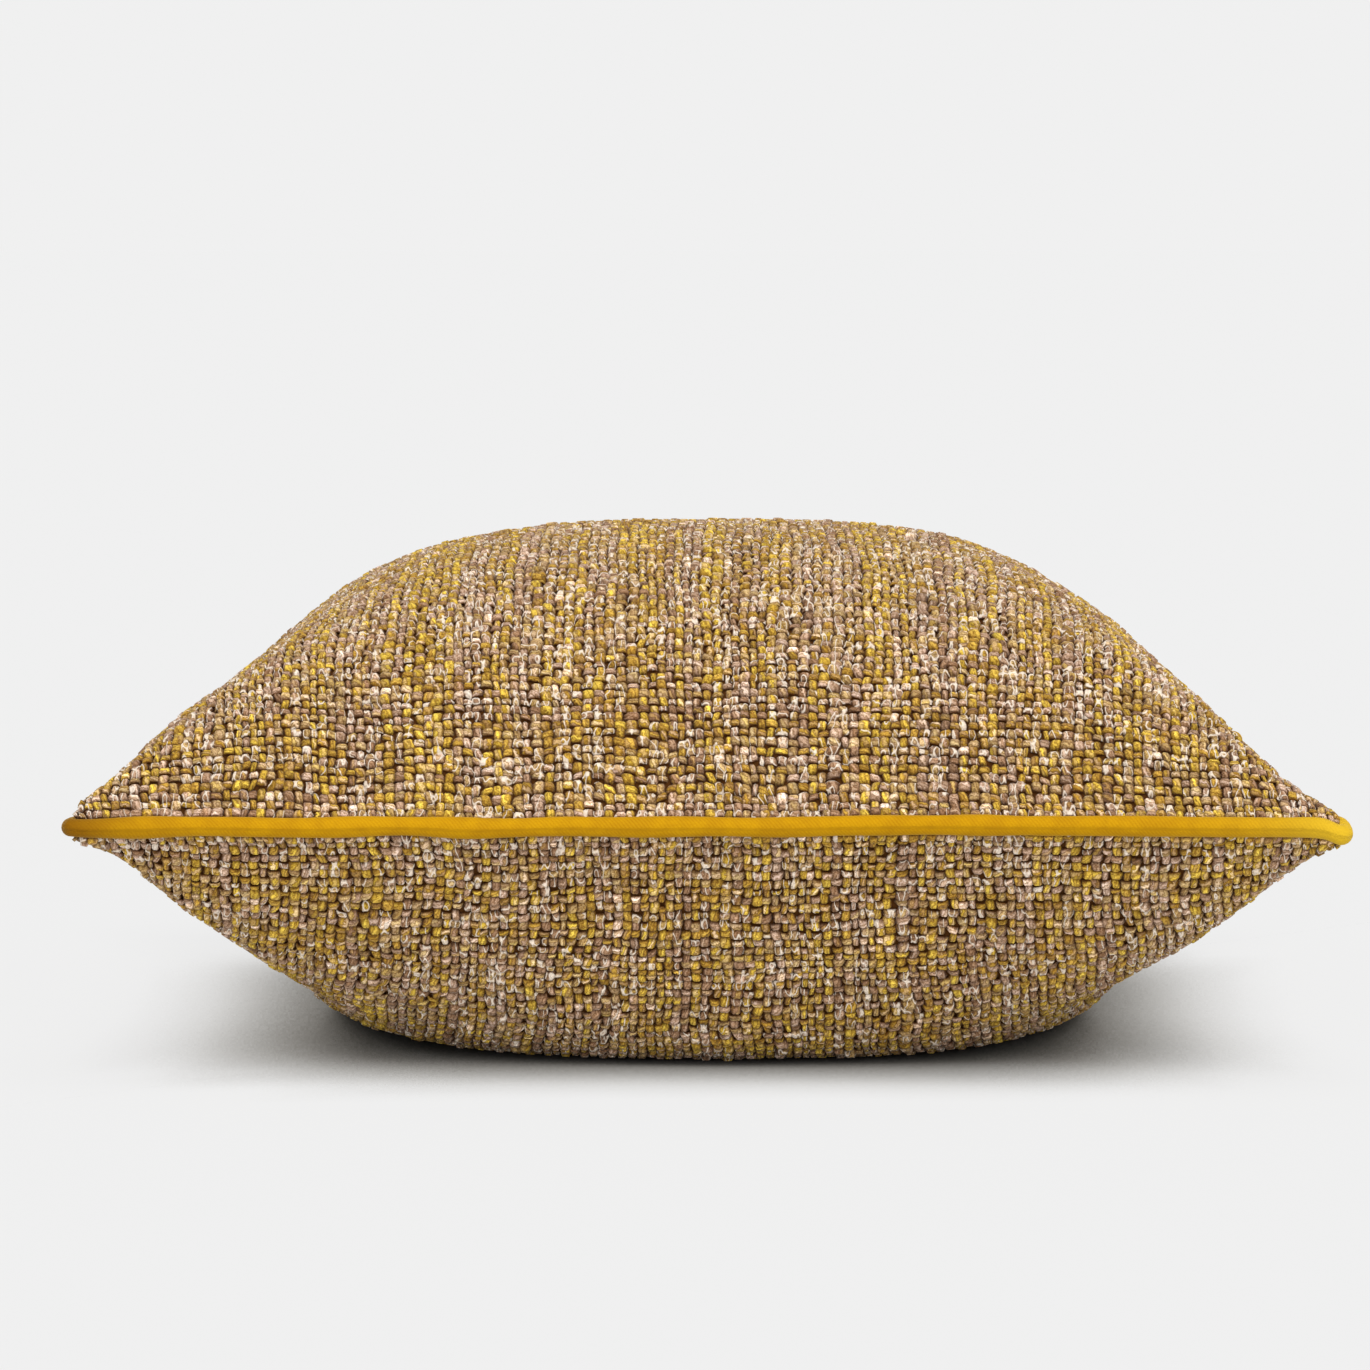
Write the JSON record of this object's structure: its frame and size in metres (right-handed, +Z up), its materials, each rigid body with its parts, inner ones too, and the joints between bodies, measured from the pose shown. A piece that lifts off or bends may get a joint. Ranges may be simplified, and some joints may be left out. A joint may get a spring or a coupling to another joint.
{
  "type": "cushion",
  "caption": "Square filled cushion in a multicoloured plain weave, with contrast piping all round the seam, lying on its back panel.",
  "frame": {"origin": "on the surface that the cushion lies on, below the middle of its plan", "axes": "+Z up through the cushion's thickness, -Y towards the side that the picture looks at, X along that side"},
  "size_m": [0.4506, 0.4506, 0.1902],
  "materials": {
    "woven_cloth": "thick slubby plain weave of mustard, mauve-brown and cream yarns",
    "piping_cloth": "smooth matt mustard cloth over a cord"
  },
  "bodies": {
    "root": {"cushion_body": "woven_cloth", "piping": "piping_cloth"}
  },
  "joints": []
}
